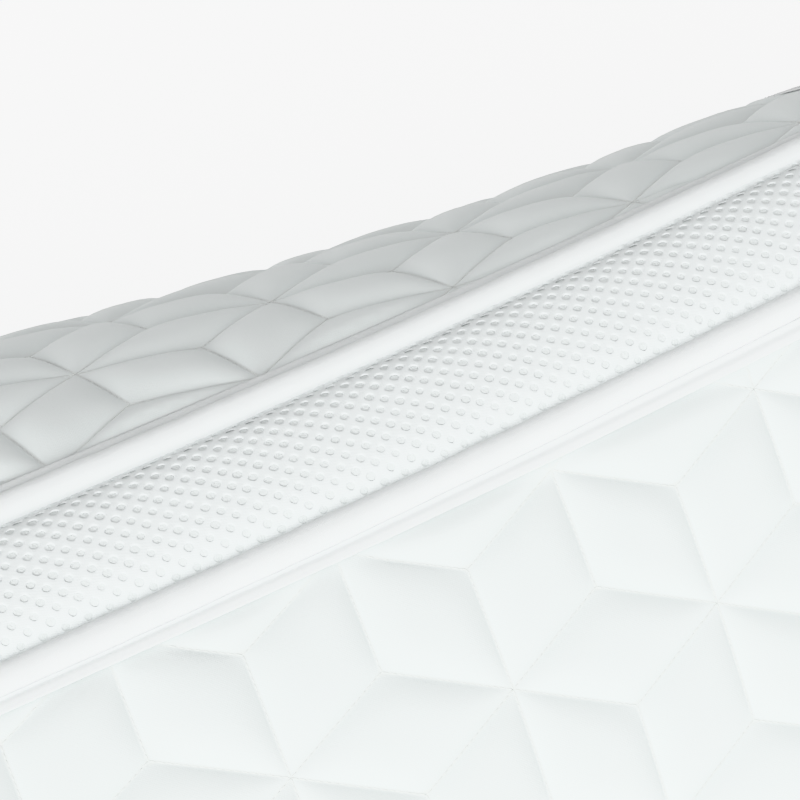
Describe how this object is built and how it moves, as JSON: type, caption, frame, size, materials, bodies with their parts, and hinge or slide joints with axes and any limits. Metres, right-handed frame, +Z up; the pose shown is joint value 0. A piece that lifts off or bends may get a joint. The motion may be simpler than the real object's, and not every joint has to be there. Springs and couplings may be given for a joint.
{
  "type": "saddle pad",
  "caption": "Quilted white saddle pad standing open like a tent, with a perforated mesh spine, corded seams, bound edges, girth loops and hook-and-loop straps.",
  "frame": {"origin": "centre of the pad's footprint, on the floor that its lower edges stand on", "axes": "+Z up; +Y along the spine towards the horse's head; +X to the horse's right side"},
  "size_m": [0.6588, 0.6022, 0.405],
  "materials": {
    "cover_fabric": "matt woven cotton, quilted in a tumbling-block pattern",
    "wadding_fill": "soft polyester wadding, hidden",
    "lining_fabric": "brushed moisture-wicking lining",
    "spacer_mesh": "knitted spacer mesh with staggered round holes",
    "mesh_backing": "plain knit",
    "seam_tape": "smooth close-woven tape with a faint sheen",
    "cord_fill": "soft cotton piping cord, hidden",
    "binding_tape": "smooth woven binding",
    "webbing": "ribbed woven webbing",
    "hook_and_loop": "matt pile"
  },
  "bodies": {
    "spine": {"spine_mesh": "spacer_mesh", "spine_backing": "mesh_backing", "spine_binding_front": "binding_tape", "spine_binding_rear": "binding_tape"},
    "left_panel": {"quilted_cover_left": "cover_fabric", "wadding_left": "wadding_fill", "lining_left": "lining_fabric", "seam_tape_left": "seam_tape", "filler_cord_left": "cord_fill", "edge_binding_left": "binding_tape", "girth_loop_left": "webbing", "billet_strap_base_left": "webbing", "loop_patch_left": "hook_and_loop"},
    "left_strap": {"billet_strap_tab_left": "webbing", "hook_patch_left": "hook_and_loop"},
    "right_panel": {"quilted_cover_right": "cover_fabric", "wadding_right": "wadding_fill", "lining_right": "lining_fabric", "seam_tape_right": "seam_tape", "filler_cord_right": "cord_fill", "edge_binding_right": "binding_tape", "girth_loop_right": "webbing", "billet_strap_base_right": "webbing", "loop_patch_right": "hook_and_loop"},
    "right_strap": {"billet_strap_tab_right": "webbing", "hook_patch_right": "hook_and_loop"}
  },
  "joints": [
    {"name": "left_panel_fold", "type": "hinge", "parent": "spine", "child": "left_panel", "pos_m": [-0.02608, 0, 0.39461], "axis": [0, 1, 0], "range_deg": [-22, 45]},
    {"name": "left_strap_fold", "type": "hinge", "parent": "left_panel", "child": "left_strap", "pos_m": [-0.28195, 0.125, 0.07705], "axis": [-0.0908, -0.993, 0.0754], "range_deg": [0, 165]},
    {"name": "right_panel_fold", "type": "hinge", "parent": "spine", "child": "right_panel", "pos_m": [0.02608, 0, 0.39461], "axis": [0, -1, 0], "range_deg": [-22, 45]},
    {"name": "right_strap_fold", "type": "hinge", "parent": "right_panel", "child": "right_strap", "pos_m": [0.28195, 0.125, 0.07705], "axis": [-0.0908, 0.993, -0.0754], "range_deg": [0, 165]}
  ]
}
